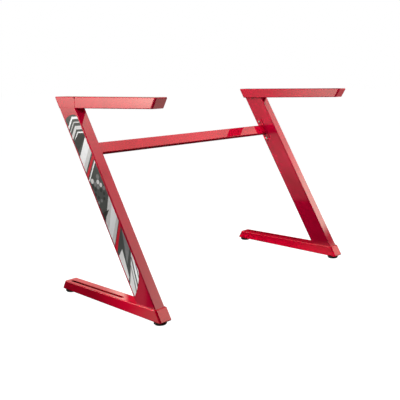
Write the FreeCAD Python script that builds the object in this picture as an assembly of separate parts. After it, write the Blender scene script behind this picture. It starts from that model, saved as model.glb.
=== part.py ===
import FreeCAD, Part
import math
import os
from FreeCAD import Vector as V, Placement, Rotation

os.makedirs("parts", exist_ok=True)

# ------------------------------------------------------------------
# Driving dimensions, millimetres.  X is across the desk, Y runs from
# the user's side (-Y) to the wall side (+Y), Z is up, floor at Z = 0.
# ------------------------------------------------------------------
FRAME_TOP = 734.0          # underside of the table top
LEG_X = 512.0              # column centre planes at +/- this
SLANT = 31.0               # column and end faces, degrees off vertical

SHEET = 2.0                # wall of the folded arms
ARM_W = 52.0               # width of top arms and feet
ARM_IN = 5.0               # top arms sit inboard, outer cheek flush with the column
TOP_DEEP = 41.0            # top arm height at the column
TOP_SHALLOW = 35.0         # top arm height at the free end
FOOT_DEEP = 41.0           # foot height at the column
FOOT_SHALLOW = 33.5        # foot height at the free end
TOP_BACK_Y = 264.2         # top arm, upper face
TOP_FRONT_Y = -282.8
FOOT_Z = 12.0              # underside of the feet
FOOT_BACK_Y = 282.6        # foot, lower face
FOOT_FRONT_Y = -276.6
R_FRONT = 6.0              # rounded upright corners at the front ends of arms and feet
R_BACK = 6.0               # the same at the rear ends
R_WEB = 3.0                # fold at the closed face
R_LIP_TOP = 2.5            # fold at the slotted face of the top arms
R_LIP_FOOT = 2.5           # fold at the slotted face of the feet
COPE = 1.9                 # column's outer wall climbs this far up the arm's fold
SLOT_W = 13.0              # slot between the lips
SLOT_OUT = 8.0             # slot sits outboard of the middle of the face
SLOT_END = 12.0            # top arm slot stops this far from the free end
FOOT_SLOT_END = 20.0       # the same for the foot slot
FOOT_SLOT_Y = -66.0        # end of the foot slot on the column side
TOP_SLOT_Y = 125.0         # end of the top arm slot on the column side

COL_W = 42.0               # column box section, across X
COL_D = 82.5               # column box section, along the slope
COL_T = 1.5
COL_R = 3.0
COL_BACK_Y = 238.5         # rear face of the column at COL_REF_Z
COL_REF_Z = 699.0

PLATE_T = 4.0              # end plates and clamp plates
JOINT_BOLT_HALF = 20.0     # half spacing of the two joint bolts
ACCESS_R = 8.0             # driver access through the closed face

BAR_H = 41.0               # cross bar section
BAR_D = 20.5
BAR_T = 1.5
BAR_R = 3.0
BAR_Q = 22.8               # cross bar centre, column coordinates
BAR_S = -163.7
FLANGE_T = 3.0
FLANGE_HALF = 14.0         # flange half width
FLANGE_LONG = 54.0         # flange half length
FLANGE_R = 11.0            # flange corners
BAR_BOLT_HALF = 42.0

SCREW_R = 2.75             # table-top screw holes
SCREW_Y = (110.0, -60.0, -230.0)

GLIDE_Y = {"front": -245.0, "rear": 258.5}
PAD_R = 22.0
M8_SHAFT = 3.95
M8_BORE = 4.0

FILM_T = 0.4               # side graphic film
SEAM_Y = 140.0             # butt seam in the outer cheek of the top arm
SEAM_W = 2.4
SEAM_DEPTH = 1.0
RELIEF = 6.5               # bend relief notch at the head of the seam

TAN = math.tan(math.radians(SLANT))
SA = math.sin(math.radians(SLANT))
CA = math.cos(math.radians(SLANT))
AXIS_Y = COL_BACK_Y - COL_D / 2.0 / CA
AXIS_Z = COL_REF_Z


# ------------------------------------------------------------------
# helpers
# ------------------------------------------------------------------
def prism_x(points, x0, x1):
    """Solid from a polygon in the YZ plane, run from x0 to x1."""
    wire = Part.makePolygon([V(x0, y, z) for y, z in points] + [V(x0, *points[0])])
    return Part.Face(wire).extrude(V(x1 - x0, 0, 0))


def inset(points, d):
    """Convex polygon with every side moved inward by d."""
    n = len(points)
    cy = sum(p[0] for p in points) / n
    cz = sum(p[1] for p in points) / n
    lines = []
    for i in range(n):
        (y0, z0), (y1, z1) = points[i], points[(i + 1) % n]
        ny, nz = z1 - z0, y0 - y1
        k = math.hypot(ny, nz)
        ny, nz = ny / k, nz / k
        c = ny * y0 + nz * z0
        if ny * cy + nz * cz > c:
            ny, nz, c = -ny, -nz, -c
        lines.append((ny, nz, c - d))
    out = []
    for i in range(n):
        a, b, c = lines[i - 1]
        e, f, g = lines[i]
        det = a * f - b * e
        out.append(((c * f - b * g) / det, (a * g - c * e) / det))
    return out


def fillet_where(shape, radius, test):
    edges = [e for e in shape.Edges if test(e)]
    return shape.makeFillet(radius, edges)


def edge_points(edge):
    a, b = edge.ParameterRange
    return [edge.valueAt(a + (b - a) * k / 4.0) for k in range(5)]


def on_line(edge, p, q):
    """Edge lies in the plane through the YZ line p-q, parallel to X."""
    ny, nz = q[1] - p[1], p[0] - q[0]
    k = math.hypot(ny, nz)
    return all(abs((pt.y - p[0]) * ny + (pt.z - p[1]) * nz) / k < 1e-4 for pt in edge_points(edge))


def tray_block(points, half, r_front, r_back, r_web, r_lip):
    """Rounded block; points are web rear, web front, lip front, lip rear."""
    wb, wf, lf, lb = points
    block = prism_x(points, -half, half)

    def upright(edge, p, q):
        pts = edge_points(edge)
        flat = abs(abs(pts[0].x) - half) < 1e-6 and abs(pts[0].x - pts[-1].x) < 1e-6
        return flat and on_line(edge, p, q)

    block = fillet_where(block, r_front, lambda e: upright(e, wf, lf))
    block = fillet_where(block, r_back, lambda e: upright(e, lb, wb))
    block = fillet_where(block, r_web, lambda e: on_line(e, wb, wf))
    return fillet_where(block, r_lip, lambda e: on_line(e, lf, lb))


def obround_z(y0, y1, width, z0, z1):
    r = width / 2.0
    s = Part.makeBox(width, (y1 - r) - (y0 + r), z1 - z0, V(-r, y0 + r, z0))
    s = s.fuse(Part.makeCylinder(r, z1 - z0, V(0, y0 + r, z0)))
    s = s.fuse(Part.makeCylinder(r, z1 - z0, V(0, y1 - r, z0)))
    return s.removeSplitter()


def rr_prism(w, d, r, z0, z1, cx=0.0, cy=0.0):
    """Rounded-rectangle prism along Z."""
    b = Part.makeBox(w, d, z1 - z0, V(cx - w / 2.0, cy - d / 2.0, z0))
    up = [e for e in b.Edges if abs(e.Vertexes[0].Z - e.Vertexes[1].Z) > 1e-6]
    return b.makeFillet(r, up)


def hexagon(af, z0, z1, x=0.0, y=0.0):
    r = af / math.sqrt(3.0)
    pts = [V(x + r * math.cos(math.radians(60 * k)), y + r * math.sin(math.radians(60 * k)), z0) for k in range(6)]
    return Part.Face(Part.makePolygon(pts + [pts[0]])).extrude(V(0, 0, z1 - z0))


def revolve_z(profile, x=0.0, y=0.0):
    """Solid of revolution from (r, z) points about the vertical axis."""
    wire = Part.makePolygon([V(r, 0, z) for r, z in profile] + [V(profile[0][0], 0, profile[0][1])])
    s = Part.Face(wire).revolve(V(0, 0, 0), V(0, 0, 1), 360)
    s.translate(V(x, y, 0))
    return s


def placed(shape, placement):
    s = shape.copy()
    s.Placement = placement.multiply(s.Placement)
    return s


def group(shapes):
    solids = []
    for s in shapes:
        solids.extend(s.Solids)
    return Part.makeCompound(solids)


def single(shape):
    return shape.Solids[0] if len(shape.Solids) == 1 else shape


def save(name, shape):
    shape.exportStep("parts/%s.step" % name)


# ------------------------------------------------------------------
# side-view outlines of the two folded arms
# ------------------------------------------------------------------
ARM_TOP = [
    (TOP_BACK_Y, FRAME_TOP),
    (TOP_FRONT_Y, FRAME_TOP),
    (TOP_FRONT_Y + TOP_SHALLOW * TAN, FRAME_TOP - TOP_SHALLOW),
    (TOP_BACK_Y - TOP_DEEP * TAN, FRAME_TOP - TOP_DEEP),
]
ARM_FOOT = [
    (FOOT_BACK_Y, FOOT_Z),
    (FOOT_FRONT_Y, FOOT_Z),
    (FOOT_FRONT_Y + FOOT_DEEP * TAN, FOOT_Z + FOOT_DEEP),
    (FOOT_BACK_Y - FOOT_SHALLOW * TAN, FOOT_Z + FOOT_SHALLOW),
]


def lip_slope(arm):
    (y0, z0), (y1, z1) = arm[2], arm[3]
    return (z1 - z0) / (y1 - y0)


def lip_z(arm, y):
    return arm[2][1] + (y - arm[2][0]) * lip_slope(arm)


def axis_hit(arm):
    """Where the column axis crosses the slotted face of an arm."""
    y = AXIS_Y
    for _ in range(40):
        y = AXIS_Y + (lip_z(arm, y) - AXIS_Z) * TAN
    return y, lip_z(arm, y)


def joint_frame(arm, up):
    """Local frame on the slotted face: local z points into the column."""
    y, z = axis_hit(arm)
    beta = math.degrees(math.atan(lip_slope(arm)))
    return Placement(V(0, y, z), Rotation(V(1, 0, 0), beta if up else beta + 180.0))


TOP_FRAME = joint_frame(ARM_TOP, False)
FOOT_FRAME = joint_frame(ARM_FOOT, True)
COLUMN = Placement(V(0, AXIS_Y, AXIS_Z), Rotation(V(1, 0, 0), -SLANT))


def access_y(frame, web_z):
    out = []
    for yl in (-JOINT_BOLT_HALF, JOINT_BOLT_HALF):
        a = frame.multVec(V(0, yl, 0))
        b = frame.multVec(V(0, yl, -1))
        t = (web_z - a.z) / (b.z - a.z)
        out.append(a.y + (b.y - a.y) * t)
    return out


# ------------------------------------------------------------------
# folded arms
# ------------------------------------------------------------------
def arm_block(arm, r_lip, shift=0.0, wall=0.0):
    """Outer block of an arm, or its hollow when a wall thickness is given."""
    pts = inset(arm, wall) if wall else arm
    b = tray_block(pts, ARM_W / 2.0 - wall, R_FRONT - wall, R_BACK - wall, R_WEB - wall, r_lip - wall)
    b.translate(V(shift, 0, 0))
    return b


def folded_arm(arm, r_lip, shift, frame):
    """Folded tray with the joint-bolt holes through its slotted face."""
    body = arm_block(arm, r_lip, shift).cut(arm_block(arm, r_lip, shift, SHEET))
    for yl in (-JOINT_BOLT_HALF, JOINT_BOLT_HALF):
        body = body.cut(placed(Part.makeCylinder(4.5, 12, V(0, yl, -8)), frame))
    return body


def top_arm(sgn):
    mid = -sgn * ARM_IN
    body = folded_arm(ARM_TOP, R_LIP_TOP, mid, TOP_FRAME)
    slot = obround_z(ARM_TOP[2][0] + SLOT_END, TOP_SLOT_Y, SLOT_W, FRAME_TOP - TOP_DEEP - 2, FRAME_TOP - 12)
    slot.translate(V(mid + sgn * SLOT_OUT, 0, 0))
    body = body.cut(slot)
    for y in SCREW_Y:
        body = body.cut(Part.makeCylinder(SCREW_R, 12, V(mid + sgn * SLOT_OUT, y, FRAME_TOP - 8)))
    for y in access_y(TOP_FRAME, FRAME_TOP):
        body = body.cut(Part.makeCylinder(ACCESS_R, 12, V(0, y, FRAME_TOP - 8)))
    cheek = mid + sgn * ARM_W / 2.0

    def outer_cut(depth, width, z0, z1):
        lo = min(cheek - sgn * depth, cheek + sgn * 2.0)
        return Part.makeBox(depth + 2.0, width, z1 - z0, V(lo, SEAM_Y - width / 2.0, z0))

    body = body.cut(outer_cut(SEAM_DEPTH, SEAM_W, FRAME_TOP - TOP_DEEP, FRAME_TOP - R_WEB))
    body = body.cut(outer_cut(2.6, RELIEF, FRAME_TOP - RELIEF, FRAME_TOP + 1.0))
    return single(body)


def foot_arm(sgn):
    body = folded_arm(ARM_FOOT, R_LIP_FOOT, 0.0, FOOT_FRAME)
    slot = obround_z(FOOT_SLOT_Y, ARM_FOOT[3][0] - FOOT_SLOT_END, SLOT_W, FOOT_Z + 12, FOOT_Z + FOOT_DEEP + 2)
    slot.translate(V(sgn * SLOT_OUT, 0, 0))
    body = body.cut(slot)
    for y in access_y(FOOT_FRAME, FOOT_Z):
        body = body.cut(Part.makeCylinder(ACCESS_R, 12, V(0, y, FOOT_Z - 4)))
    for y in GLIDE_Y.values():
        body = body.cut(Part.makeCylinder(4.5, 12, V(0, y, FOOT_Z - 4)))
    return single(body)


# ------------------------------------------------------------------
# slanted column with its end plates
# ------------------------------------------------------------------
def between_arms(rise):
    far = 600.0
    return prism_x(
        [(-far, lip_z(ARM_FOOT, -far)), (far, lip_z(ARM_FOOT, far)), (far, lip_z(ARM_TOP, far) + rise), (-far, lip_z(ARM_TOP, -far) + rise)],
        -80,
        80,
    )


def bar_holes(sgn, radius, x0, x1):
    """Cross-bar fixing holes in the inner wall, column coordinates."""
    cut = []
    for ds in (-BAR_BOLT_HALF, BAR_BOLT_HALF):
        lo, hi = sorted((-sgn * x0, -sgn * x1))
        cut.append(Part.makeCylinder(radius, hi - lo, V(lo, BAR_Q, BAR_S + ds), V(1, 0, 0)))
    return cut


def column(sgn):
    tube = rr_prism(COL_W, COL_D, COL_R, -900, 200).cut(rr_prism(COL_W - 2 * COL_T, COL_D - 2 * COL_T, COL_R - COL_T, -910, 210))
    for c in bar_holes(sgn, 3.5, COL_W / 2.0 - 4, COL_W / 2.0 + 4):
        tube = tube.cut(c)
    body = placed(tube, COLUMN).common(between_arms(COPE)).cut(arm_block(ARM_TOP, R_LIP_TOP, -sgn * ARM_IN))
    return max(body.Solids, key=lambda v: v.Volume)


def end_plate(frame):
    gap = 0.15
    core = rr_prism(COL_W - 2 * COL_T - 2 * gap, COL_D - 2 * COL_T - 2 * gap, COL_R - COL_T - gap, -900, 200)
    slab = placed(Part.makeBox(80, 300, PLATE_T, V(-40, -150, 0)), frame)
    plate = placed(core, COLUMN).common(slab)
    for yl in (-JOINT_BOLT_HALF, JOINT_BOLT_HALF):
        plate = plate.cut(placed(Part.makeCylinder(4.5, 30, V(0, yl, -10)), frame))
    return single(plate)


def joint_nuts(frame):
    out = []
    for yl in (-JOINT_BOLT_HALF, JOINT_BOLT_HALF):
        n = hexagon(13.0, PLATE_T, PLATE_T + 6.5, 0, yl).cut(Part.makeCylinder(M8_BORE, 20, V(0, yl, 0)))
        out.append(placed(n, frame))
    return group(out)


def clamp_plate(frame):
    p = rr_prism(34.0, 88.0, 4.0, -SHEET - PLATE_T, -SHEET)
    for yl in (-JOINT_BOLT_HALF, JOINT_BOLT_HALF):
        p = p.cut(Part.makeCylinder(4.5, 30, V(0, yl, -20)))
    return single(placed(p, frame))


def joint_bolts(frame):
    out = []
    seat = -SHEET - PLATE_T
    for yl in (-JOINT_BOLT_HALF, JOINT_BOLT_HALF):
        head = Part.makeCylinder(6.5, 8.0, V(0, yl, seat - 8.0))
        head = head.makeChamfer(0.6, [e for e in head.Edges if abs(e.BoundBox.ZMax - (seat - 8.0)) < 1e-3])
        head = head.cut(hexagon(6.0, seat - 9.0, seat - 4.0, 0, yl))
        shank = Part.makeCylinder(M8_SHAFT, 17.5, V(0, yl, seat))
        out.append(placed(head.fuse(shank).removeSplitter(), frame))
    return group(out)


# ------------------------------------------------------------------
# cross bar
# ------------------------------------------------------------------
INNER_X = LEG_X - COL_W / 2.0


def cross_bar():
    half = INNER_X - FLANGE_T
    tube = rr_prism(BAR_H, BAR_D, BAR_R, -half, half).cut(
        rr_prism(BAR_H - 2 * BAR_T, BAR_D - 2 * BAR_T, BAR_R - BAR_T, -half - 5, half + 5)
    )
    # local Z -> X, local X (height) -> along the column, local Y -> across
    tube.rotate(V(0, 0, 0), V(0, 1, 0), 90)
    tube.translate(V(0, BAR_Q, BAR_S))
    return single(placed(tube, COLUMN))


def flange(sgn):
    x0 = INNER_X - FLANGE_T
    plate = Part.makeBox(FLANGE_T, 2 * FLANGE_HALF, 2 * FLANGE_LONG, V(x0, BAR_Q - FLANGE_HALF, BAR_S - FLANGE_LONG))
    plate = plate.makeFillet(FLANGE_R, [e for e in plate.Edges if abs(e.BoundBox.XLength - FLANGE_T) < 1e-3 and e.Length < FLANGE_T + 1e-3])
    for ds in (-BAR_BOLT_HALF, BAR_BOLT_HALF):
        plate = plate.cut(Part.makeCylinder(3.3, 20, V(x0 - 10, BAR_Q, BAR_S + ds), V(1, 0, 0)))
    if sgn < 0:
        plate = plate.mirror(V(0, 0, 0), V(1, 0, 0))
    return single(placed(plate, COLUMN))


def bar_bolts(sgn):
    """Button-head M6 screws, heads toward the middle of the desk."""
    out = []
    seat = INNER_X - FLANGE_T
    for ds in (-BAR_BOLT_HALF, BAR_BOLT_HALF):
        prof = [(0, seat - 3.6), (2.6, seat - 3.6), (4.2, seat - 3.0), (5.4, seat - 2.0), (6.0, seat - 0.8), (6.0, seat), (2.95, seat), (2.95, seat + 12.0), (2.5, seat + 12.6), (0, seat + 12.6)]
        b = revolve_z(prof)
        b = b.cut(hexagon(4.0, seat - 5.0, seat - 1.6))
        b.rotate(V(0, 0, 0), V(0, 1, 0), 90)
        b.translate(V(0, BAR_Q, BAR_S + ds))
        if sgn < 0:
            b = b.mirror(V(0, 0, 0), V(1, 0, 0))
        out.append(placed(b, COLUMN))
    return group(out)


def bar_nuts(sgn):
    out = []
    seat = INNER_X + COL_T
    for ds in (-BAR_BOLT_HALF, BAR_BOLT_HALF):
        n = hexagon(10.0, seat, seat + 5.0).cut(Part.makeCylinder(3.0, 20, V(0, 0, seat - 5)))
        n.rotate(V(0, 0, 0), V(0, 1, 0), 90)
        n.translate(V(0, BAR_Q, BAR_S + ds))
        if sgn < 0:
            n = n.mirror(V(0, 0, 0), V(1, 0, 0))
        out.append(placed(n, COLUMN))
    return group(out)


# ------------------------------------------------------------------
# side film on the outer cheek of the column
# ------------------------------------------------------------------
FILM_BACK = 33.0
FILM_FRONT = -35.5
FILM_HEAD = [(FILM_BACK, -36.0), (26.0, -33.0), (14.0, -32.5), (-2.3, -35.5), (-19.3, -42.0), (-29.5, -51.0), (FILM_FRONT, -64.0)]
FILM_TAIL = [(FILM_FRONT, -634.0), (-29.0, -652.0), (-17.4, -666.2), (-3.0, -680.5), (10.0, -691.5), (FILM_BACK, -706.0)]


def film(sgn):
    x = COL_W / 2.0

    def curve(pts):
        c = Part.BSplineCurve()
        c.interpolate([V(x, q, s) for q, s in pts])
        return c.toShape()

    def line(a, b):
        return Part.makeLine(V(x, *a), V(x, *b))

    wire = Part.Wire([curve(FILM_HEAD), line(FILM_HEAD[-1], FILM_TAIL[0]), curve(FILM_TAIL), line(FILM_TAIL[-1], FILM_HEAD[0])])
    skin = Part.Face(wire).extrude(V(FILM_T, 0, 0))
    if sgn < 0:
        skin = skin.mirror(V(0, 0, 0), V(1, 0, 0))
    return single(placed(skin, COLUMN))


# ------------------------------------------------------------------
# levelling glides
# ------------------------------------------------------------------
def glide_nut(y):
    n = hexagon(13.0, FOOT_Z + SHEET, FOOT_Z + SHEET + 6.5, 0, y)
    return n.cut(Part.makeCylinder(M8_BORE, 20, V(0, y, FOOT_Z)))


def glide_pad(y):
    prof = [
        (7.05, 2.0), (20.4, 2.0), (21.5, 2.4), (PAD_R, 3.4), (PAD_R, 7.4),
        (21.2, 8.2), (M8_BORE, 8.2), (M8_BORE, 7.05), (7.05, 7.05),
    ]
    return revolve_z(prof, 0, y)


def glide_sole(y):
    prof = [(0, 0), (19.2, 0), (19.8, 0.6), (19.8, 2.0), (7.05, 2.0), (7.05, 4.45), (0, 4.45)]
    return revolve_z(prof, 0, y)


def glide_stud(y):
    prof = [(0, 4.5), (7.0, 4.5), (7.0, 7.0), (M8_SHAFT, 7.0), (M8_SHAFT, 31.7), (3.2, 32.5), (0, 32.5)]
    s = revolve_z(prof, 0, y).fuse(hexagon(12.0, 8.5, 11.0, 0, y)).removeSplitter()
    return single(s.cut(hexagon(4.0, 28.5, 33.5, 0, y)))


# ------------------------------------------------------------------
# write every piece as its own node
# ------------------------------------------------------------------
save("cross_bar_tube", cross_bar())
for side, sgn in (("left", -1), ("right", 1)):
    dx = V(sgn * LEG_X, 0, 0)
    pieces = {
        "top_arm": top_arm(sgn),
        "column": column(sgn),
        "foot": foot_arm(sgn),
        "column_upper_end_plate": end_plate(TOP_FRAME),
        "column_lower_end_plate": end_plate(FOOT_FRAME),
        "upper_joint_nuts": joint_nuts(TOP_FRAME),
        "lower_joint_nuts": joint_nuts(FOOT_FRAME),
        "upper_clamp_plate": clamp_plate(TOP_FRAME),
        "lower_clamp_plate": clamp_plate(FOOT_FRAME),
        "upper_joint_bolts": joint_bolts(TOP_FRAME),
        "lower_joint_bolts": joint_bolts(FOOT_FRAME),
        "glide_nuts": group([glide_nut(y) for y in GLIDE_Y.values()]),
        "side_film": film(sgn),
    }
    for end, y in GLIDE_Y.items():
        pieces[end + "_glide_pad"] = glide_pad(y)
        pieces[end + "_glide_sole"] = glide_sole(y)
        pieces[end + "_glide_stud"] = glide_stud(y)
    for name, shape in pieces.items():
        shape.translate(dx)
        save(side + "_" + name, shape)
    save("cross_bar_%s_flange" % side, flange(sgn))
    save("cross_bar_%s_bolts" % side, bar_bolts(sgn))
    save("cross_bar_%s_nuts" % side, bar_nuts(sgn))
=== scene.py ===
import math

import bpy
from mathutils import Matrix, Vector
from mathutils.geometry import delaunay_2d_cdt

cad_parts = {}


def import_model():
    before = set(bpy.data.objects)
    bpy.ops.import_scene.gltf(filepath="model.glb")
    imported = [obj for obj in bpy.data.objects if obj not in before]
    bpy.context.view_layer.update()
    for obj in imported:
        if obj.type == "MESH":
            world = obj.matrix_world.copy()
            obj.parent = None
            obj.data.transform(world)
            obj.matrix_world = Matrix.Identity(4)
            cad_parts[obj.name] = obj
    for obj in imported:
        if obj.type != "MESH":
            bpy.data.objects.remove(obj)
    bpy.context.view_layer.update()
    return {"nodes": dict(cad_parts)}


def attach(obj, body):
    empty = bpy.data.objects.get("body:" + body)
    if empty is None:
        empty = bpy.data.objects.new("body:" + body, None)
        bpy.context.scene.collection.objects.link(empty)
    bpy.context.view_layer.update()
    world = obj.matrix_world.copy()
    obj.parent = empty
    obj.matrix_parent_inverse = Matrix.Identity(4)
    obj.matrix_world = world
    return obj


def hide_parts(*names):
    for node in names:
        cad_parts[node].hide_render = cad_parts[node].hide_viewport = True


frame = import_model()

NODES = frame["nodes"]
SCENE = bpy.context.scene
MM = 0.001

# ------------------------------------------------------------------
# dimensions shared with the construction, millimetres
# ------------------------------------------------------------------
LEG_X = 512.0
COL_W = 42.0
SLANT = math.radians(31.0)
SA, CA = math.sin(SLANT), math.cos(SLANT)
AXIS_Z = 699.0
AXIS_Y = 238.5 - 41.25 / CA
BAR_Q, BAR_S = 22.8, -163.7
BAR_H, BAR_D, BAR_R = 41.0, 20.5, 3.0
FLANGE_T = 3.0
BOLT_HALF = 42.0
INNER_X = LEG_X - COL_W / 2.0
GLIDE_Y = {"front": -245.0, "rear": 258.5}
FILM_X0, FILM_X1 = 533.0, 533.4


def col_point(x, q, s):
    """Point given across the desk (x), across the slope (q) and up the slope (s)."""
    return Vector((x, AXIS_Y + q * CA + s * SA, AXIS_Z - q * SA + s * CA)) * MM


# ------------------------------------------------------------------
# node helpers
# ------------------------------------------------------------------
class Graph:
    def __init__(self, tree):
        self.tree = tree
        tree.nodes.clear()

    def add(self, kind, props=None, **sockets):
        n = self.tree.nodes.new(kind)
        for k, v in (props or {}).items():
            setattr(n, k, v)
        for k, v in sockets.items():
            self.put(n, k, v)
        return n

    def put(self, n, key, v):
        sock = n.inputs[int(key[1:])] if key[0] == "i" and key[1:].isdigit() else n.inputs[key.replace("_", " ")]
        if hasattr(v, "is_linked"):
            self.tree.links.new(v, sock)
        else:
            sock.default_value = v

    def math(self, op, a, b=0.0, c=0.0, clamp=False):
        n = self.add("ShaderNodeMath", {"operation": op, "use_clamp": clamp}, i0=a, i1=b)
        if op in ("MULTIPLY_ADD", "COMPARE", "SMOOTH_MIN"):
            self.put(n, "i2", c)
        return n.outputs[0]

    def ramp(self, v, a, b, lo=0.0, hi=1.0, smooth=True):
        n = self.add("ShaderNodeMapRange", {"interpolation_type": "SMOOTHSTEP" if smooth else "LINEAR", "clamp": True})
        for k, x in enumerate((v, a, b, lo, hi)):
            self.put(n, "i%d" % k, x)
        return n.outputs[0]

    def curve(self, v, points):
        """Piecewise-linear function of v through (x, y) points, x within 0..1 and y within 0..1."""
        n = self.add("ShaderNodeFloatCurve")
        n.inputs[0].default_value = 1.0
        self.put(n, "i1", v)
        c = n.mapping.curves[0]
        n.mapping.use_clip = False
        pts = list(points)
        while len(c.points) < len(pts):
            c.points.new(0.5, 0.5)
        for p, (x, y) in zip(c.points, pts):
            p.location = (x, y)
            p.handle_type = "VECTOR"
        n.mapping.update()
        return n.outputs[0]

    def mix(self, fac, a, b, kind="MIX"):
        n = self.add("ShaderNodeMix", {"data_type": "RGBA", "blend_type": kind})
        self.put(n, "i0", fac)
        self.put(n, "i6", a)
        self.put(n, "i7", b)
        return n.outputs[2]

    def noise(self, vec, scale, detail=2.0, rough=0.5):
        n = self.add("ShaderNodeTexNoise", {"noise_dimensions": "3D"}, Vector=vec, Scale=scale, Detail=detail, Roughness=rough)
        return n.outputs["Fac"]

    def bump(self, height, strength, distance, normal=None):
        n = self.add("ShaderNodeBump", None, Strength=strength, Distance=distance, Height=height)
        if normal is not None:
            self.put(n, "Normal", normal)
        return n.outputs["Normal"]


def rgba(r, g, b):
    return (r, g, b, 1.0)


def new_material(name):
    m = bpy.data.materials.new(name)
    m.use_nodes = True
    g = Graph(m.node_tree)
    out = g.add("ShaderNodeOutputMaterial")
    bsdf = g.add("ShaderNodeBsdfPrincipled")
    g.tree.links.new(bsdf.outputs[0], out.inputs["Surface"])
    vec = g.add("ShaderNodeTexCoord").outputs["Object"]
    return m, g, bsdf, vec


def edge_mask(g, radius, lo, hi):
    """0 on flat faces, rising to 1 along sharp edges."""
    bev = g.add("ShaderNodeBevel", {"samples": 4}, Radius=radius).outputs["Normal"]
    geo = g.add("ShaderNodeNewGeometry").outputs["Normal"]
    dot = g.add("ShaderNodeVectorMath", {"operation": "DOT_PRODUCT"}, i0=bev, i1=geo).outputs["Value"]
    return g.ramp(dot, hi, lo)


# ------------------------------------------------------------------
# surface finishes
# ------------------------------------------------------------------
def red_paint(name, painted_light_gain=1.0):
    """Gloss red coat on sheet steel: faint mottling, orange peel, thin coat along the folds."""
    m, g, b, vec = new_material(name)
    # the gain scales every tone of the base colour; the per-piece values below paint light and shade into it
    deep = rgba(0.52 * painted_light_gain, 0.0006, 0.025)
    full = rgba(0.60 * painted_light_gain, 0.0010, 0.033)
    thin = rgba(0.66 * painted_light_gain, 0.004, 0.044)
    cloud = g.noise(vec, 9.0, 3.0, 0.55)
    fine = g.noise(vec, 420.0, 2.0, 0.6)
    col = g.mix(g.ramp(cloud, 0.30, 0.70), deep, full)
    col = g.mix(g.ramp(fine, 0.35, 0.75, 0.0, 0.10), col, thin)
    edge = edge_mask(g, 0.0016, 0.90, 0.995)
    chip = g.math("MULTIPLY", edge, g.ramp(g.noise(vec, 130.0, 4.0, 0.65), 0.42, 0.62))
    col = g.mix(g.math("MULTIPLY", chip, 0.35), col, thin)
    g.put(b, "Base Color", col)
    b.inputs["Metallic"].default_value = 0.30
    smear = g.noise(vec, 30.0, 4.0, 0.6)
    rough = g.math("ADD", g.ramp(smear, 0.3, 0.7, 0.38, 0.46), g.math("MULTIPLY", chip, 0.10))
    g.put(b, "Roughness", rough)
    b.inputs["IOR"].default_value = 1.5
    b.inputs["Specular IOR Level"].default_value = 0.0
    b.inputs["Coat Weight"].default_value = 1.0
    b.inputs["Coat Roughness"].default_value = 0.018
    b.inputs["Coat IOR"].default_value = 1.56
    peel = g.noise(vec, 300.0, 2.0, 0.5)
    wave = g.noise(vec, 42.0, 2.0, 0.5)
    h = g.math("ADD", g.math("MULTIPLY", peel, 0.10), g.math("MULTIPLY", wave, 1.0))
    nrm = g.bump(h, 0.035, 0.0003)
    g.put(b, "Normal", nrm)
    g.put(b, "Coat Normal", nrm)
    return m


def zinc_steel():
    """Bright zinc plate: faint crystal clouds, a warm tint in places, lighter edges."""
    m, g, b, vec = new_material("zinc_plate")
    cloud = g.noise(vec, 160.0, 4.0, 0.6)
    warm = g.noise(vec, 45.0, 2.0, 0.5)
    col = g.mix(g.ramp(cloud, 0.3, 0.7), rgba(0.60, 0.61, 0.64), rgba(0.83, 0.83, 0.84))
    col = g.mix(g.ramp(warm, 0.45, 0.75, 0.0, 0.30), col, rgba(0.80, 0.74, 0.58))
    edge = edge_mask(g, 0.0006, 0.85, 0.99)
    col = g.mix(g.math("MULTIPLY", edge, 0.5), col, rgba(0.92, 0.92, 0.92))
    g.put(b, "Base Color", col)
    b.inputs["Metallic"].default_value = 1.0
    g.put(b, "Roughness", g.ramp(g.noise(vec, 700.0, 3.0, 0.6), 0.3, 0.7, 0.20, 0.36))
    g.put(b, "Normal", g.bump(g.noise(vec, 1500.0, 2.0, 0.5), 0.06, 0.0002))
    return m


def black_oxide():
    """Oil-blackened steel with rubbed edges."""
    m, g, b, vec = new_material("black_oxide")
    cloud = g.noise(vec, 220.0, 4.0, 0.6)
    col = g.mix(g.ramp(cloud, 0.3, 0.7), rgba(0.020, 0.020, 0.023), rgba(0.050, 0.050, 0.054))
    edge = edge_mask(g, 0.0006, 0.85, 0.99)
    col = g.mix(g.math("MULTIPLY", edge, 0.45), col, rgba(0.22, 0.22, 0.23))
    g.put(b, "Base Color", col)
    b.inputs["Metallic"].default_value = 0.9
    g.put(b, "Roughness", g.ramp(g.noise(vec, 900.0, 3.0, 0.6), 0.3, 0.7, 0.30, 0.48))
    g.put(b, "Normal", g.bump(g.noise(vec, 1800.0, 2.0, 0.5), 0.10, 0.0002))
    return m


def black_nylon():
    """Moulded nylon: fine spark-eroded grain and slight flow marks."""
    m, g, b, vec = new_material("black_nylon")
    flow = g.noise(vec, 60.0, 3.0, 0.55)
    grain = g.noise(vec, 2600.0, 3.0, 0.6)
    col = g.mix(g.ramp(flow, 0.3, 0.7), rgba(0.008, 0.008, 0.009), rgba(0.017, 0.017, 0.018))
    edge = edge_mask(g, 0.0009, 0.80, 0.99)
    col = g.mix(g.math("MULTIPLY", edge, 0.35), col, rgba(0.06, 0.06, 0.062))
    g.put(b, "Base Color", col)
    g.put(b, "Roughness", g.ramp(grain, 0.3, 0.7, 0.34, 0.50))
    b.inputs["IOR"].default_value = 1.52
    g.put(b, "Normal", g.bump(grain, 0.18, 0.0003))
    return m


def black_rubber():
    """Matt rubber with a dusty bloom."""
    m, g, b, vec = new_material("black_rubber")
    dust = g.noise(vec, 110.0, 5.0, 0.65)
    col = g.mix(g.ramp(dust, 0.45, 0.75), rgba(0.010, 0.010, 0.010), rgba(0.036, 0.035, 0.033))
    g.put(b, "Base Color", col)
    g.put(b, "Roughness", g.ramp(dust, 0.3, 0.7, 0.68, 0.90))
    b.inputs["Specular IOR Level"].default_value = 0.3
    g.put(b, "Normal", g.bump(g.noise(vec, 1300.0, 3.0, 0.6), 0.25, 0.0004))
    return m


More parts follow.
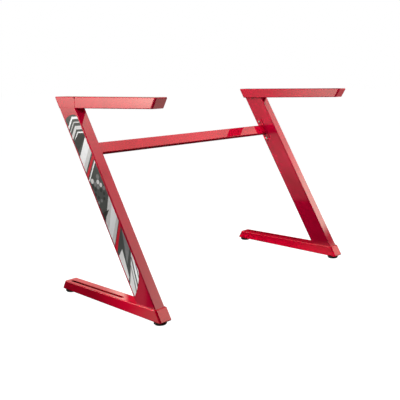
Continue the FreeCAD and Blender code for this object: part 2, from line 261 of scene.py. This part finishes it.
def vinyl(name, colour, spread=0.06):
    """Printed vinyl film under a satin laminate: print mottle, fine grain, faint long waves."""
    m, g, b, vec = new_material(name)
    r, gg, bl = colour
    mott = g.noise(vec, 75.0, 4.0, 0.6)
    dots = g.noise(vec, 1900.0, 1.0, 0.5)
    lo = rgba(r * (1 - spread), gg * (1 - spread), bl * (1 - spread))
    hi = rgba(min(1, r * (1 + spread)), min(1, gg * (1 + spread)), min(1, bl * (1 + spread)))
    col = g.mix(g.ramp(mott, 0.3, 0.7), lo, hi)
    col = g.mix(g.ramp(dots, 0.55, 0.75, 0.0, 0.18), col, rgba(r * 0.8, gg * 0.8, bl * 0.8))
    g.put(b, "Base Color", col)
    g.put(b, "Roughness", g.ramp(g.noise(vec, 260.0, 3.0, 0.6), 0.3, 0.7, 0.30, 0.40))
    b.inputs["Specular IOR Level"].default_value = 0.2
    b.inputs["Coat Weight"].default_value = 0.3
    b.inputs["Coat Roughness"].default_value = 0.16
    h = g.math("ADD", g.math("MULTIPLY", g.noise(vec, 1200.0, 2.0, 0.5), 0.3), g.noise(vec, 26.0, 2.0, 0.5))
    nrm = g.bump(h, 0.10, 0.0004)
    g.put(b, "Normal", nrm)
    g.put(b, "Coat Normal", nrm)
    return m


# One red paint in lit and shaded copies, which is painted light and shade: the feet (1.28) and the bar (1.12) are
# painted lighter, and the columns (0.87) and the other red pieces (0.95) darker, to stand in for how strongly each
# piece is lit. The real frame has a single red.
PAINT = red_paint("gloss_red", 0.95)
PAINT_COLUMN_SHADED = red_paint("gloss_red_columns_painted_shade", 0.87)
PAINT_BAR_LIT = red_paint("gloss_red_bar_painted_light", 1.12)
PAINT_FOOT_LIT = red_paint("gloss_red_feet_painted_light", 1.28)
ZINC = zinc_steel()
OXIDE = black_oxide()
NYLON = black_nylon()
RUBBER = black_rubber()
FILM = {
    "charcoal": vinyl("film_charcoal", (0.062, 0.066, 0.064)),
    "night": vinyl("film_night", (0.022, 0.023, 0.024)),
    "slate": vinyl("film_slate", (0.19, 0.19, 0.19)),
    "silver": vinyl("film_silver", (0.66, 0.65, 0.64), 0.04),
    "white": vinyl("film_white", (0.90, 0.90, 0.90), 0.03),
    "red": vinyl("film_red", (0.60, 0.012, 0.03)),
}
BY_SLOT = {"red_paint": PAINT, "zinc_steel": ZINC, "black_oxide_steel": OXIDE, "black_nylon": NYLON, "black_rubber": RUBBER, "side_film": FILM["charcoal"]}

for name, obj in NODES.items():
    slot_name = obj.data.materials[0].name
    finish = BY_SLOT[slot_name]
    # feet, columns with their end plates, and the bar take the lighter or darker copies of the paint: painted light
    # and shade
    if name.endswith("_foot"):
        finish = PAINT_FOOT_LIT
    elif name.endswith("_column") or name.endswith("_end_plate"):
        finish = PAINT_COLUMN_SHADED
    elif name == "cross_bar_tube":
        finish = PAINT_BAR_LIT
    obj.material_slots[0].material = finish


# ------------------------------------------------------------------
# mesh helpers
# ------------------------------------------------------------------
def make_object(name, verts, faces, mats, body, nodes, smooth=True, index=None, sharp=40.0):
    me = bpy.data.meshes.new(name)
    me.from_pydata([tuple(v) for v in verts], [], faces)
    for m in mats:
        me.materials.append(m)
    if index is not None:
        for p, k in zip(me.polygons, index):
            p.material_index = k
    me.update()
    if smooth:
        me.shade_smooth()
        me.set_sharp_from_angle(angle=math.radians(sharp))
    o = bpy.data.objects.new(name, me)
    SCENE.collection.objects.link(o)
    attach(o, body)
    if nodes:
        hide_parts(*nodes)
    return o


def ring_mesh(rings, close_first=True, close_last=True):
    """Closed skin over rings of equal vertex count; each ring is a list of points."""
    n = len(rings[0])
    verts = [p for ring in rings for p in ring]
    faces = []
    for k in range(len(rings) - 1):
        a, b = k * n, (k + 1) * n
        for i in range(n):
            j = (i + 1) % n
            faces.append((a + i, a + j, b + j, b + i))
    for ends, first in ((close_first, True), (close_last, False)):
        if ends:
            base = 0 if first else (len(rings) - 1) * n
            c = len(verts)
            verts.append(sum((Vector(p) for p in rings[0 if first else -1]), Vector()) / n)
            for i in range(n):
                j = (i + 1) % n
                faces.append((base + j, base + i, c) if first else (base + i, base + j, c))
    return verts, faces


def circle(r, z, n):
    return [Vector((r * math.cos(2 * math.pi * k / n), r * math.sin(2 * math.pi * k / n), z)) for k in range(n)]


def hexring(af, z, n):
    out = []
    for k in range(n):
        t = 2 * math.pi * k / n
        r = af / 2.0 / math.cos((t % (math.pi / 3)) - math.pi / 6)
        out.append(Vector((r * math.cos(t), r * math.sin(t), z)))
    return out


def join(parts):
    verts, faces = [], []
    for v, f in parts:
        b = len(verts)
        verts += list(v)
        faces += [tuple(b + i for i in face) for face in f]
    return verts, faces


def transformed(part, mat):
    v, f = part
    return [mat @ Vector(p) for p in v], f


def arc_profile(cx, cz, r, a0, a1, n):
    return [(cx + r * math.cos(math.radians(a0 + (a1 - a0) * k / n)), cz + r * math.sin(math.radians(a0 + (a1 - a0) * k / n))) for k in range(n + 1)]


# ------------------------------------------------------------------
# button-head screws of the cross bar, two per flange
# ------------------------------------------------------------------
def button_screw():
    """Head dome, hexagon socket and threaded shank; the seat is z = 0 and the head points to +z."""
    n = 48
    rings = [circle(0.6, -12.6, n), circle(2.45, -12.55, n), circle(2.95, -11.9, n), circle(2.95, 0.0, n), circle(5.75, 0.0, n), circle(5.95, 0.18, n), circle(6.0, 0.5, n)]
    for k in range(1, 11):
        t = math.radians(90.0 * k / 10.0)
        r = 2.75 + (6.0 - 2.75) * math.cos(t * 0.97)
        z = 0.5 + 3.05 * math.sin(t * 0.97) ** 0.9
        rings.append(circle(r, z, n))
    top = rings[-1][0].z
    rings.append(circle(2.62, top - 0.02, n))
    rings.append(hexring(4.0, top - 0.32, n))
    rings.append(hexring(4.0, 1.5, n))
    rings.append(circle(0.3, 1.0, n))
    return ring_mesh(rings)


def bolt_pair(side):
    sgn = -1 if side == "left" else 1
    parts = []
    for ds, spin in ((-BOLT_HALF, 17.0), (BOLT_HALF, 41.0)):
        seat = col_point(sgn * (INNER_X - FLANGE_T), BAR_Q, BAR_S + ds)
        axis = Vector((-sgn, 0, 0))
        m = Matrix.Translation(seat) @ axis.to_track_quat("Z", "Y").to_matrix().to_4x4() @ Matrix.Rotation(math.radians(spin), 4, "Z") @ Matrix.Scale(MM, 4)
        parts.append(transformed(button_screw(), m))
    v, f = join(parts)
    make_object("cross_bar_%s_button_screws" % side, v, f, [ZINC], "frame", ["cross_bar_%s_bolts" % side], sharp=32.0)


for side in ("left", "right"):
    bolt_pair(side)


# ------------------------------------------------------------------
# weld bead round the cross bar at each flange
# ------------------------------------------------------------------
def rounded_rect(w, h, r, per):
    pts = []
    for cx, cy, a in ((w / 2 - r, h / 2 - r, 0), (-w / 2 + r, h / 2 - r, 90), (-w / 2 + r, -h / 2 + r, 180), (w / 2 - r, -h / 2 + r, 270)):
        for k in range(per + 1):
            t = math.radians(a + 90.0 * k / per)
            pts.append((cx + r * math.cos(t), cy + r * math.sin(t), math.cos(t), math.sin(t)))
    out = []
    for i, p in enumerate(pts):
        q = pts[(i + 1) % len(pts)]
        out.append(p)
        d = math.hypot(q[0] - p[0], q[1] - p[1])
        for k in range(1, int(d / 0.45)):
            t = k / int(d / 0.45)
            out.append(tuple(p[j] + (q[j] - p[j]) * t for j in range(4)))
    return out


def weld(side):
    sgn = -1 if side == "left" else 1
    path = rounded_rect(BAR_D, BAR_H, BAR_R, 8)
    rings, run = [], 0.0
    for i, (px, py, nx, ny) in enumerate(path):
        qx, qy = path[i - 1][:2]
        run += math.hypot(px - qx, py - qy)
        size = 2.1 + 0.16 * math.sin(run * 2 * math.pi / 1.9) + 0.10 * math.sin(run * 0.9)
        ring = []
        for k in range(9):
            t = math.radians(90.0 * k / 8)
            bulge = size * (1.0 - 0.18 * math.sin(2 * t))
            out_d, along = bulge * math.cos(t), bulge * math.sin(t)
            ring.append(col_point(sgn * (INNER_X - FLANGE_T - along), BAR_Q + px + nx * (out_d - 0.0), BAR_S + py + ny * (out_d - 0.0)))
        ring.append(col_point(sgn * (INNER_X - FLANGE_T), BAR_Q + px - nx * 0.4, BAR_S + py - ny * 0.4))
        rings.append(ring)
    n = len(rings[0])
    verts = [p for r in rings for p in r]
    faces = []
    for a in range(len(rings)):
        b = (a + 1) % len(rings)
        for i in range(n):
            j = (i + 1) % n
            f = (a * n + i, a * n + j, b * n + j, b * n + i)
            faces.append(f if sgn > 0 else f[::-1])
    make_object("cross_bar_%s_weld" % side, verts, faces, [PAINT], "frame", [], sharp=60.0)


for side in ("left", "right"):
    weld(side)


# ------------------------------------------------------------------
# levelling glides: nylon pad, rubber sole, threaded stud
# ------------------------------------------------------------------
def lathe(profile, n):
    return ring_mesh([circle(r, z, n) for r, z in profile])


def pad_mesh():
    n = 96
    outer = [(7.05, 7.05), (7.05, 2.05), (7.15, 2.0), (19.8, 2.0)]
    outer += arc_profile(20.5, 3.5, 1.5, -90, -5, 10)
    outer += [(22.0, 3.5), (22.0, 5.8), (21.84, 5.9), (21.84, 6.15), (22.0, 6.25), (22.0, 7.2)]
    outer += arc_profile(21.0, 7.2, 1.0, 0, 90, 8)
    outer += [(10.2, 8.2), (9.9, 8.0), (9.2, 8.0), (8.9, 8.2), (4.3, 8.2), (4.0, 8.0), (4.0, 7.05)]
    rings = [circle(r, z, n) for r, z in outer]
    v, f = ring_mesh(rings, False, False)
    last = (len(rings) - 1) * n
    for i in range(n):
        j = (i + 1) % n
        f.append((last + i, last + j, j, i))
    return v, f


def sole_mesh():
    n = 96
    prof = [(7.05, 4.45), (7.05, 2.0), (19.8, 2.0), (19.8, 0.75)] + arc_profile(19.2, 0.6, 0.6, 0, -90, 6)
    r = 18.2
    while r > 3.0:
        prof += [(r, 0.0), (r - 0.25, 0.5), (r - 0.75, 0.5), (r - 1.0, 0.0)]
        r -= 2.4
    rings = [circle(6.6, 4.45, n)] + [circle(a, z, n) for a, z in prof] + [circle(0.8, 0.0, n)]
    return ring_mesh(rings)


def stud_mesh():
    """Ball flange, hexagon and M8 right-hand thread."""
    n = 36
    pitch, crest, root = 1.25, 3.95, 3.30
    z0, z1 = 11.0, 32.5
    lower = [circle(1.0, 4.5, n), circle(6.6, 4.5, n), circle(7.0, 4.85, n), circle(7.0, 6.65, n), circle(6.7, 7.0, n), circle(3.95, 7.0, n), circle(3.95, 8.5, n)]
    lower += [circle(5.7, 8.5, n), hexring(12.0, 8.95, n), hexring(12.0, 10.55, n), circle(5.7, 11.0, n)]
    rows = int((z1 - z0) / (pitch / 10.0))
    upper = []
    for k in range(rows + 1):
        z = z0 + (z1 - z0) * k / rows
        ring = []
        for i in range(n):
            t = 2 * math.pi * i / n
            ph = ((z - pitch * t / (2 * math.pi)) / pitch) % 1.0
            tri = 1.0 - abs(2.0 * ph - 1.0)
            r = root + (crest - root) * min(1.0, max(0.0, (tri - 0.12) / 0.70))
            r = min(r, 3.25 + max(0.0, (z1 - z)) * 0.9)
            if z < z0 + 1.0:
                r = root + (r - root) * (z - z0)
            ring.append(Vector((r * math.cos(t), r * math.sin(t), z)))
        upper.append(ring)
    socket = [hexring(4.0, z1, n), hexring(4.0, z1 - 3.6, n), circle(0.4, z1 - 4.2, n)]
    return ring_mesh(lower + upper + socket)


for side, sgn in (("left", -1), ("right", 1)):
    for end, y in GLIDE_Y.items():
        m = Matrix.Translation(Vector((sgn * LEG_X, y, 0)) * MM) @ Matrix.Scale(MM, 4)
        base = "%s_%s" % (side, end)
        v, f = transformed(pad_mesh(), m)
        make_object(base + "_nylon_pad", v, f, [NYLON], base + "_glide", [base + "_glide_pad"], sharp=35.0)
        v, f = transformed(sole_mesh(), m)
        make_object(base + "_rubber_sole", v, f, [RUBBER], base + "_glide", [base + "_glide_sole"], sharp=35.0)
        v, f = transformed(stud_mesh(), m)
        make_object(base + "_threaded_stud", v, f, [ZINC], base + "_stud", [base + "_glide_stud"], sharp=50.0)


# ------------------------------------------------------------------
# printed side film: geometric shards, slashes and hexagons
# u runs from the rear edge (-) to the front edge (+), v from the top down
# ------------------------------------------------------------------
def slash(v0, thick, drop, u0=-36.5, u1=36.5):
    return [(u0, v0), (u1, v0 + drop), (u1, v0 + drop + thick), (u0, v0 + thick)]


def hexagon(cu, cv, r):
    return [(cu + r * math.cos(math.radians(60 * k + 30)), cv + r * math.sin(math.radians(60 * k + 30))) for k in range(6)]


def film_design():
    d = []
    # chevrons at the head
    for top, thick, tone in ((44, 9, "white"), (64, 4, "silver"), (80, 14, "silver"), (103, 5, "white")):
        d += [(tone, [(-37, top + 22), (6, top), (37, top + 16), (37, top + 16 + thick), (6, top + thick), (-37, top + 22 + thick)])]
    d += [("night", [(-37, 122), (6, 112), (37, 126), (37, 138), (-37, 166)])]
    # slashes
    d += [("white", slash(184, 40, -46))]
    d += [("silver", slash(224, 22, -46))]
    d += [("red", slash(254, 14, -46))]
    d += [("white", slash(275, 7, -46))]
    # hexagon field
    r = 10.5
    w = r * math.sqrt(3.0)
    for row in range(6):
        for k in range(-2, 3):
            cu = k * w + (w / 2 if row % 2 else 0.0)
            cv = 284 + row * r * 1.5
            if abs(cu) > 34:
                continue
            tone = ("slate", "night", "charcoal", "night", "slate", "silver", "charcoal", "slate")[(row * 3 + k * 5 + 10) % 8]
            if tone == "charcoal":
                continue
            d += [(tone, hexagon(cu, cv, r * (0.92 - 0.06 * row)))]
    # long shards
    d += [("silver", [(37, 362), (37, 456), (-37, 524), (-37, 440)])]
    d += [("white", [(37, 392), (37, 440), (-37, 500), (-37, 470)])]
    d += [("night", [(-37, 400), (12, 404), (-37, 430)])]
    d += [("red", [(-37, 528), (37, 460), (37, 476), (-37, 548)])]
    d += [("slate", [(37, 484), (37, 556), (-8, 600)])]
    d += [("silver", [(-37, 562), (-2, 545), (-22, 640), (-37, 655)])]
    # light tail with pinstripes
    d += [("silver", [(37, 570), (37, 710), (-37, 710), (-37, 668), (-14, 640)])]
    d += [("white", [(37, 590), (37, 640), (-6, 705), (-16, 705)])]
    d += [("night", [(24, 588), (29, 584), (2, 700), (-5, 700)])]
    d += [("slate", [(8, 606), (12, 602), (-14, 705), (-20, 705)])]
    d += [("night", [(36, 600), (37, 612), (18, 700), (13, 700)])]
    return d


def film_outline(node):
    """Boundary loop of the outer face of a film, in (u, v) millimetres."""
    me = NODES[node].data
    pts, key = [], {}
    ids = []
    for v in me.vertices:
        k = (round(v.co.x * 1e6), round(v.co.y * 1e6), round(v.co.z * 1e6))
        if k not in key:
            key[k] = len(pts)
            pts.append(v.co.copy())
        ids.append(key[k])
    count = {}
    for p in me.polygons:
        vs = [ids[i] for i in p.vertices]
        if all(abs(abs(pts[i].x) - FILM_X1 * MM) < 2e-5 for i in vs):
            for a, b in zip(vs, vs[1:] + vs[:1]):
                e = (min(a, b), max(a, b))
                count[e] = count.get(e, 0) + 1
    nxt = {}
    for (a, b), c in count.items():
        if c == 1:
            nxt.setdefault(a, []).append(b)
            nxt.setdefault(b, []).append(a)
    start = next(iter(nxt))
    loop, prev = [start], None
    while True:
        here = loop[-1]
        step = [k for k in nxt[here] if k != prev]
        prev = here
        if not step or step[0] == start:
            break
        loop.append(step[0])
    out = []
    for i in loop:
        y, z = pts[i].y / MM - AXIS_Y, pts[i].z / MM - AXIS_Z
        q, s = y * CA - z * SA, y * SA + z * CA
        out.append((-q, -s))
    return out


def film(side):
    sgn = -1 if side == "left" else 1
    outline = film_outline(side + "_side_film")
    area = sum(a[0] * b[1] - b[0] * a[1] for a, b in zip(outline, outline[1:] + outline[:1]))
    if area < 0:
        outline.reverse()
    names = list(FILM)
    coords, polys, tones = [], [], []
    for tone, poly in [("charcoal", outline)] + film_design():
        b = len(coords)
        coords += [Vector(p) for p in poly]
        polys.append(list(range(b, b + len(poly))))
        tones.append(names.index(tone))
    vs, es, fs, _, _, src = delaunay_2d_cdt(coords, [], polys, 0, 1e-4, True)
    keep = [(f, max(o)) for f, o in zip(fs, src) if 0 in o]
    used = sorted({i for f, _ in keep for i in f})
    at = {i: k for k, i in enumerate(used)}
    nv = len(used)
    verts = [col_point(sgn * FILM_X1, -vs[i][0], -vs[i][1]) for i in used] + [col_point(sgn * FILM_X0, -vs[i][0], -vs[i][1]) for i in used]
    faces, index, edges = [], [], {}
    for f, top in keep:
        g = [at[i] for i in f]
        a, b, c = (vs[f[k]] for k in range(3))
        if ((b - a).x * (c - a).y - (b - a).y * (c - a).x) * sgn > 0:
            g.reverse()
        faces.append(tuple(g))
        index.append(tones[top])
        faces.append(tuple(i + nv for i in reversed(g)))
        index.append(tones[0])
        for i, j in zip(g, g[1:] + g[:1]):
            edges[(i, j)] = tones[top]
    for (i, j), tone in edges.items():
        if (j, i) not in edges:
            faces.append((j, i, i + nv, j + nv))
            index.append(tone)
    make_object(side + "_printed_film", verts, faces, [FILM[k] for k in names], "frame", [side + "_side_film"], smooth=False, index=index)


for side in ("left", "right"):
    film(side)


# ------------------------------------------------------------------
# camera: left front, a little above the frame
# ------------------------------------------------------------------
def camera():
    yaw, pitch, roll = (math.radians(a) for a in (45.47, -10.927, -1.208))
    d = Vector((math.sin(yaw) * math.cos(pitch), math.cos(yaw) * math.cos(pitch), math.sin(pitch)))
    r = d.cross(Vector((0, 0, 1))).normalized()
    u = r.cross(d)
    right = r * math.cos(roll) + u * math.sin(roll)
    up = -r * math.sin(roll) + u * math.cos(roll)
    cam = bpy.data.cameras.new("camera")
    cam.sensor_fit = "HORIZONTAL"
    cam.sensor_width = 36.0
    cam.lens = 633.89 / 400.0 * 36.0
    cam.clip_start, cam.clip_end = 0.05, 100.0
    o = bpy.data.objects.new("camera", cam)
    SCENE.collection.objects.link(o)
    m = Matrix((right, up, -d)).transposed().to_4x4()
    m.translation = Vector((-1.816368, -1.722239, 0.790134))
    o.matrix_world = m
    SCENE.camera = o


camera()


# ------------------------------------------------------------------
# studio: pale floor, white cove, softboxes seen only as reflections
# ------------------------------------------------------------------
def floor():
    me = bpy.data.meshes.new("floor")
    # low enough to clear the glides when they are screwed right out
    s, z = 30.0, -0.0125
    me.from_pydata([(-s, -s, z), (s, -s, z), (s, s, z), (-s, s, z)], [], [(0, 1, 2, 3)])
    m, g, b, vec = new_material("pale_floor")
    g.put(b, "Base Color", g.mix(g.ramp(g.noise(vec, 3.0, 3.0, 0.5), 0.3, 0.7), rgba(0.20, 0.20, 0.20), rgba(0.22, 0.22, 0.22)))
    b.inputs["Roughness"].default_value = 0.9
    b.inputs["Specular IOR Level"].default_value = 0.0
    b.inputs["Emission Color"].default_value = rgba(1, 1, 1)
    b.inputs["Emission Strength"].default_value = 0.985
    me.materials.append(m)
    o = bpy.data.objects.new("floor", me)
    SCENE.collection.objects.link(o)
    o.visible_glossy = False
    o.visible_diffuse = False


floor()


def area(name, loc, target, size, power, spread=180.0):
    l = bpy.data.lights.new(name, "AREA")
    l.shape = "RECTANGLE"
    l.size, l.size_y = size
    l.energy = power
    l.spread = math.radians(spread)
    o = bpy.data.objects.new(name, l)
    SCENE.collection.objects.link(o)
    o.location = loc
    o.rotation_euler = (Vector(target) - Vector(loc)).to_track_quat("-Z", "Y").to_euler()
    o.visible_glossy = False
    o.visible_camera = False
    return o


area("over_right", (0.5, 0.0, 1.7), (0.5, 0.0, 0.0), (0.8, 0.8), 7.9)
area("over_left", (-0.6, -0.1, 1.7), (-0.5, -0.1, 0.0), (0.8, 0.8), 1.1)
area("right_key", (1.4, -1.0, 1.6), (0.5, 0.05, 0.6), (0.6, 0.6), 13.0)
area("left_rear", (-2.4, 0.8, 1.2), (-0.5, 0.2, 0.5), (1.0, 1.0), 8.3)
area("left_near", (-1.1, 0.0, 1.15), (-0.53, 0.0, 0.7), (0.6, 0.4), 7.2)
area("left_low_spot", (-0.88, 0.15, 0.27), (-0.538, -0.24, 0.03), (0.1, 0.1), 0.245, 60.0)
area("middle_low", (-0.15, -0.05, 0.14), (0.5, 0.0, 0.03), (0.6, 0.2), 0.45)
area("middle_low_spot", (0.0, 0.0, 0.30), (0.49, 0.02, -0.02), (0.8, 0.02), 0.178, 16.0)
area("middle_spot", (-0.25, 0.38, 0.60), (0.49, 0.05, 0.44), (0.1, 0.1), 0.115, 44.0)
area("rear_high", (-0.3, 0.6, 1.4), (0.49, 0.1, 0.5), (0.6, 0.6), 10.3)
area("right_end_spot", (0.7, -0.9, 0.45), (0.51, -0.1, 0.68), (0.3, 0.3), 0.85, 70.0)
area("left_end_spot", (-0.4, -0.9, 0.35), (-0.51, -0.27, 0.71), (0.3, 0.3), 0.32, 70.0)
area("rear_fill", (0.8, 2.6, 1.2), (0.0, 0.0, 0.4), (1.4, 1.4), 16.0)
area("right_fill", (2.6, 0.4, 1.2), (0.4, 0.0, 0.4), (1.4, 1.4), 16.0)


def world():
    w = bpy.data.worlds.new("studio")
    SCENE.world = w
    w.use_nodes = True
    w.cycles.sampling_method = "NONE"
    g = Graph(w.node_tree)
    out = g.add("ShaderNodeOutputWorld")
    direction = g.add("ShaderNodeTexCoord").outputs["Generated"]
    sep = g.add("ShaderNodeSeparateXYZ", None, Vector=direction)
    x, y, z = sep.outputs
    deg = 180.0 / math.pi
    az = g.math("MULTIPLY", g.math("ARCTAN2", x, y), deg)
    el = g.math("MULTIPLY", g.math("ARCSINE", z), deg)

    def window(v, a, b, soft):
        return g.math("MULTIPLY", g.ramp(v, a - soft, a + soft), g.ramp(v, b - soft, b + soft, 1.0, 0.0))

    def table(v, lo, hi, points, top):
        """Strength through (degree, radiance) points."""
        t = g.ramp(v, lo, hi, smooth=False)
        return g.math("MULTIPLY", g.curve(t, [((p - lo) / (hi - lo), q / top) for p, q in points]), top)

    # backdrop wall at the rear left, standing on a dark floor
    wall = table(el, -90, 90, [(-90, 0.2), (-12, 0.2), (-7, 0.66), (-4, 0.47), (0, 0.45), (60, 0.3), (90, 0.6)], 1.0)
    wall = g.math("MULTIPLY", g.math("MULTIPLY", wall, g.ramp(el, -11.15, -10.85)), window(az, -61.0, -28.0, 2.0))
    # two tall boxes in front of it
    back_a = table(az, -70, 20, [(-70, 0.0), (-46, 0.0), (-44, 5.4), (-41.5, 6.2), (-39, 4.1), (-36, 2.7), (-33.5, 1.8), (-28, 0.0), (20, 0.0)], 7.0)
    back_b = table(az, -80, -45, [(-80, 0.0), (-63, 0.0), (-60.5, 3.0), (-57, 3.0), (-54, 1.35), (-52, 0.4), (-49.5, 0.0), (-45, 0.0)], 6.0)
    lift = g.math("MULTIPLY", g.ramp(el, -5.0, -1.2), g.ramp(el, 40.0, 24.0))
    rear = g.math("MULTIPLY", g.math("ADD", back_a, back_b), lift)
    # their sheen on the ground
    sheen = g.math("MULTIPLY", table(az, -60, -30, [(-60, 0.0), (-47, 0.0), (-45, 0.8), (-41, 0.66), (-39, 0.16), (-37.5, 0.0), (-30, 0.0)], 1.0), window(el, -32.0, -20.5, 0.25))
    patch = g.math("MULTIPLY", table(az, -50, -30, [(-50, 0.0), (-40.3, 0.0), (-40.0, 0.22), (-39.4, 0.22), (-38.5, 0.0), (-30, 0.0)], 1.0), window(el, -20.4, -16.0, 0.3))
    streak = g.math("MULTIPLY", table(az, -75, -45, [(-75, 0.4), (-57, 0.27), (-55.3, 0.15), (-53.6, 0.0), (-45, 0.0)], 1.0), window(el, -32.0, -14.75, 0.3))
    # front right bank with a bright strip low down, over a second box
    bank = table(el, 0, 90, [(0, 0.0), (9, 0.1), (11, 2.0), (19.5, 2.05), (19.8, 0.2), (20.6, 0.3), (21.6, 2.0), (27.5, 2.2), (29.5, 1.85), (39.5, 1.18), (42.5, 1.9), (44, 2.8), (60, 1.0), (90, 0.5)], 6.0)
    bank = g.math("MULTIPLY", bank, window(az, 96.0, 146.0, 5.0))
    strip = g.math("MULTIPLY", table(el, 0, 90, [(0, 0.0), (20.6, 0.0), (21.4, 2.5), (25, 2.1), (26.6, 0.6), (28, 0.0), (90, 0.0)], 3.0), window(az, 96.0, 130.0, 3.0))
    # low panel on the right, and two cards on the ground below it
    right = g.math("MULTIPLY", window(az, 76.0, 124.0, 6.0), g.math("MULTIPLY", window(el, -9.0, 9.0, 2.0), 0.9))
    low = g.math("MULTIPLY", g.math("MULTIPLY", window(az, 111.0, 120.0, 1.5), window(el, -47.0, -38.0, 1.5)), 1.05)
    low = g.math("ADD", low, g.math("MULTIPLY", g.math("MULTIPLY", window(az, 100.0, 110.0, 1.5), window(el, -33.0, -24.0, 1.5)), 0.52))
    # rear right, seen in the upper faces of the feet
    side = g.math("MULTIPLY", table(az, 0, 60, [(0, 0.0), (20, 0.5), (36, 0.66), (37.4, 1.75), (37.8, 1.6), (38.1, 0.0), (60, 0.0)], 2.0), window(el, 11.0, 30.0, 2.5))
    # faint glow along the horizon behind
    glow = g.math("MULTIPLY", g.math("MULTIPLY", window(az, -24.0, 47.0, 3.0), window(el, -3.0, 7.0, 2.0)), 0.55)
    total = wall
    for part in (rear, sheen, patch, streak, bank, strip, right, low, side, glow):
        total = g.math("ADD", total, part)
    total = g.math("ADD", total, 0.012)

    glossy = g.add("ShaderNodeBackground", None, Color=rgba(1.0, 0.98, 0.82), Strength=total)
    diffuse = g.add("ShaderNodeBackground", None, Color=rgba(1, 1, 1), Strength=0.09)
    seen = g.add("ShaderNodeBackground", None, Color=rgba(1, 1, 1), Strength=1.0)
    path = g.add("ShaderNodeLightPath")
    a = g.add("ShaderNodeMixShader", None, i0=path.outputs["Is Glossy Ray"])
    g.tree.links.new(diffuse.outputs[0], a.inputs[1])
    g.tree.links.new(glossy.outputs[0], a.inputs[2])
    b = g.add("ShaderNodeMixShader", None, i0=path.outputs["Is Camera Ray"])
    g.tree.links.new(a.outputs[0], b.inputs[1])
    g.tree.links.new(seen.outputs[0], b.inputs[2])
    g.tree.links.new(b.outputs[0], out.inputs["Surface"])


world()
SCENE.view_settings.view_transform = "Standard"
SCENE.view_settings.look = "None"
